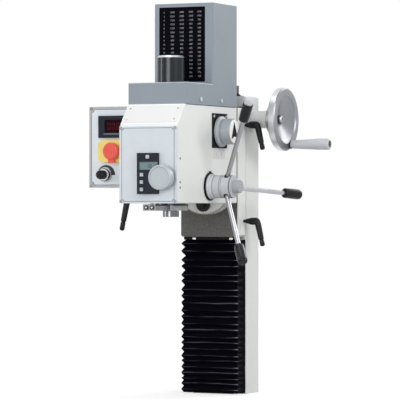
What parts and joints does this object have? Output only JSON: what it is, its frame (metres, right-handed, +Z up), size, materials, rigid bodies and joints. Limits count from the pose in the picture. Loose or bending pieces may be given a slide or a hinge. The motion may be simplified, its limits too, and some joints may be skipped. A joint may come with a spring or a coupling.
{
  "type": "mill drill column and head",
  "caption": "Bench mill drill column with a sliding saddle and tilting gear head: boxy motor cover, three-spoke quill handle, side handwheel, bellows and a control box.",
  "frame": {"origin": "centre of the column's foot, on the face that is bolted down", "axes": "+Z up the column, +X to the operator's right, the head faces -Y"},
  "size_m": [0.3981, 0.4305, 0.7647],
  "materials": {
    "cream_paint": "gloss enamel",
    "blue_grey_paint": "satin enamel on sheet",
    "panel_plate": "satin printed plate",
    "box_paint": "satin enamel on sheet",
    "black_paint": "satin",
    "bare_steel": "turned and ground",
    "bright_metal": "polished",
    "black_oxide": "blackened",
    "machined_iron": "machined",
    "cast_aluminium": "cast and turned",
    "bronze": "turned",
    "black_plastic": "moulded",
    "grey_plastic": "moulded",
    "red_plastic": "moulded",
    "yellow_plastic": "moulded",
    "folded_rubber": "rubber-coated cloth folds"
  },
  "bodies": {
    "column_frame": {"column": "cream_paint", "column_top_cover": "black_paint", "z_screw_bearings": "bare_steel", "handwheel_bracket": "cream_paint", "bellows": "folded_rubber"},
    "z_screw": {"z_leadscrew": "bare_steel", "z_bevel_gear": "bare_steel"},
    "handwheel_set": {"handwheel_shaft": "bare_steel", "handwheel_dial": "cast_aluminium", "handwheel": "cast_aluminium", "handwheel_nut": "bare_steel", "handwheel_grip_stud": "bare_steel"},
    "grip": {"handwheel_grip": "bright_metal"},
    "saddle_slide": {"saddle": "cream_paint", "saddle_gib": "machined_iron", "z_nut": "bronze", "bellows_top_strip": "black_paint"},
    "upper_clamp": {"z_clamp_upper": "black_plastic"},
    "lower_clamp": {"z_clamp_lower": "black_plastic"},
    "head": {"head_casting": "cream_paint", "tilt_bolts": "black_oxide", "front_panel": "panel_plate", "panel_screws": "bare_steel", "depth_readout": "black_plastic", "motor_housing": "cast_aluminium", "motor_cover": "blue_grey_paint", "motor_cover_screws": "bare_steel", "gearbox_bearings": "bare_steel", "feed_flange": "black_paint", "feed_spring": "bare_steel", "spring_cap": "bare_steel", "selector_plate": "black_paint", "control_box": "box_paint", "control_panel": "panel_plate", "panel_meter": "black_plastic", "stop_switch_base": "yellow_plastic"},
    "rotor": {"motor_rotor": "bare_steel"},
    "layshaft": {"layshaft_gears": "bare_steel"},
    "gear_sleeve": {"spindle_gear": "bare_steel"},
    "quill_set": {"quill": "bare_steel", "spindle_bearings": "bare_steel", "depth_bracket": "bare_steel", "depth_rod": "bare_steel"},
    "spindle_set": {"spindle": "bare_steel", "drawbar": "bare_steel"},
    "cap": {"drawbar_cap": "black_plastic"},
    "feed_set": {"feed_pinion_shaft": "bare_steel", "feed_hub": "bare_steel", "feed_spokes": "bright_metal", "feed_knobs": "black_plastic"},
    "clutch": {"feed_clutch_knob": "bare_steel"},
    "fine_feed": {"fine_feed_knob": "grey_plastic"},
    "quill_lock": {"quill_lock_lever": "black_plastic"},
    "selector": {"gear_selector_knob": "grey_plastic"},
    "speed_control": {"speed_knob": "black_plastic"},
    "stop_control": {"stop_button": "red_plastic"},
    "button_top": {"readout_button_top": "grey_plastic"},
    "button_upper": {"readout_button_upper": "grey_plastic"},
    "button_middle": {"readout_button_middle": "grey_plastic"},
    "button_lower": {"readout_button_lower": "grey_plastic"}
  },
  "joints": [
    {"name": "z_handwheel", "type": "hinge", "parent": "column_frame", "child": "handwheel_set", "pos_m": [0.1, 0, 0.5434], "axis": [1, 0, 0], "range_deg": [0, 21240]},
    {"name": "z_screw_turn", "type": "hinge", "parent": "column_frame", "child": "z_screw", "pos_m": [0, 0, 0.3], "axis": [0, 0, 1], "range_deg": [0, 21240]},
    {"name": "z_travel", "type": "slide", "parent": "column_frame", "child": "saddle_slide", "axis": [0, 0, 1], "range_m": [-0.236, 0], "deforming": ["bellows"]},
    {"name": "grip_spin", "type": "hinge", "parent": "handwheel_set", "child": "grip", "pos_m": [0.136, 0.01942, 0.49409], "axis": [1, 0, 0], "continuous": true},
    {"name": "upper_clamp_turn", "type": "hinge", "parent": "saddle_slide", "child": "upper_clamp", "pos_m": [0.07, -0.04, 0.532], "axis": [1, 0, 0], "range_deg": [-20, 40]},
    {"name": "lower_clamp_turn", "type": "hinge", "parent": "saddle_slide", "child": "lower_clamp", "pos_m": [0.07, -0.04, 0.342], "axis": [1, 0, 0], "range_deg": [-20, 40]},
    {"name": "head_tilt", "type": "hinge", "parent": "saddle_slide", "child": "head", "pos_m": [0, -0.0683, 0.4165], "axis": [0, 1, 0], "range_deg": [-30, 30]},
    {"name": "motor_spin", "type": "hinge", "parent": "head", "child": "rotor", "pos_m": [0, -0.1306, 0.62], "axis": [0, 0, 1], "continuous": true},
    {"name": "layshaft_spin", "type": "hinge", "parent": "head", "child": "layshaft", "pos_m": [0, -0.1801, 0.53], "axis": [0, 0, 1], "continuous": true},
    {"name": "sleeve_spin", "type": "hinge", "parent": "head", "child": "gear_sleeve", "pos_m": [0, -0.2431, 0.55], "axis": [0, 0, 1], "continuous": true},
    {"name": "quill_handle", "type": "hinge", "parent": "head", "child": "feed_set", "pos_m": [0, -0.1972, 0.4095], "axis": [1, 0, 0], "range_deg": [0, 180]},
    {"name": "quill_feed", "type": "slide", "parent": "head", "child": "quill_set", "axis": [0, 0, -1], "range_m": [0, 0.05], "stiffness_N_per_m": 300, "springref_m": -0.15},
    {"name": "spindle_spin", "type": "hinge", "parent": "quill_set", "child": "spindle_set", "pos_m": [0, -0.2431, 0.4], "axis": [0, 0, 1], "continuous": true},
    {"name": "drawbar_cap_lift", "type": "slide", "parent": "head", "child": "cap", "axis": [0, 0, 1], "range_m": [0, 0.06]},
    {"name": "clutch_turn", "type": "hinge", "parent": "feed_set", "child": "clutch", "pos_m": [0.115, -0.1972, 0.4095], "axis": [1, 0, 0], "range_deg": [0, 90]},
    {"name": "fine_feed_turn", "type": "hinge", "parent": "head", "child": "fine_feed", "pos_m": [0.0355, -0.36, 0.426], "axis": [0, 1, 0], "continuous": true},
    {"name": "quill_lock_turn", "type": "hinge", "parent": "head", "child": "quill_lock", "pos_m": [-0.07, -0.2431, 0.392], "axis": [1, 0, 0], "range_deg": [-40, 40]},
    {"name": "gear_select", "type": "hinge", "parent": "head", "child": "selector", "pos_m": [0.08, -0.1528, 0.5163], "axis": [1, 0, 0], "range_deg": [0, 90]},
    {"name": "speed_turn", "type": "hinge", "parent": "head", "child": "speed_control", "pos_m": [-0.1394, -0.25, 0.4326], "axis": [0, 1, 0], "range_deg": [0, 270]},
    {"name": "stop_press", "type": "slide", "parent": "head", "child": "stop_control", "axis": [0, 1, 0], "range_m": [0, 0.005], "stiffness_N_per_m": 600},
    {"name": "button_top_press", "type": "slide", "parent": "head", "child": "button_top", "axis": [0, 1, 0], "range_m": [0, 0.0008], "stiffness_N_per_m": 500},
    {"name": "button_upper_press", "type": "slide", "parent": "head", "child": "button_upper", "axis": [0, 1, 0], "range_m": [0, 0.0008], "stiffness_N_per_m": 500},
    {"name": "button_middle_press", "type": "slide", "parent": "head", "child": "button_middle", "axis": [0, 1, 0], "range_m": [0, 0.0008], "stiffness_N_per_m": 500},
    {"name": "button_lower_press", "type": "slide", "parent": "head", "child": "button_lower", "axis": [0, 1, 0], "range_m": [0, 0.0008], "stiffness_N_per_m": 500}
  ],
  "couplings": [
    {"joint": "z_handwheel", "follows": "z_travel", "rad_per_m": -1570.8},
    {"joint": "z_screw_turn", "follows": "z_travel", "rad_per_m": -1570.8},
    {"joint": "quill_handle", "follows": "quill_feed", "rad_per_m": 62.832},
    {"joint": "layshaft_spin", "follows": "motor_spin", "ratio": -0.375},
    {"joint": "sleeve_spin", "follows": "motor_spin", "ratio": 0.1681},
    {"joint": "spindle_spin", "follows": "motor_spin", "ratio": 0.1681}
  ]
}
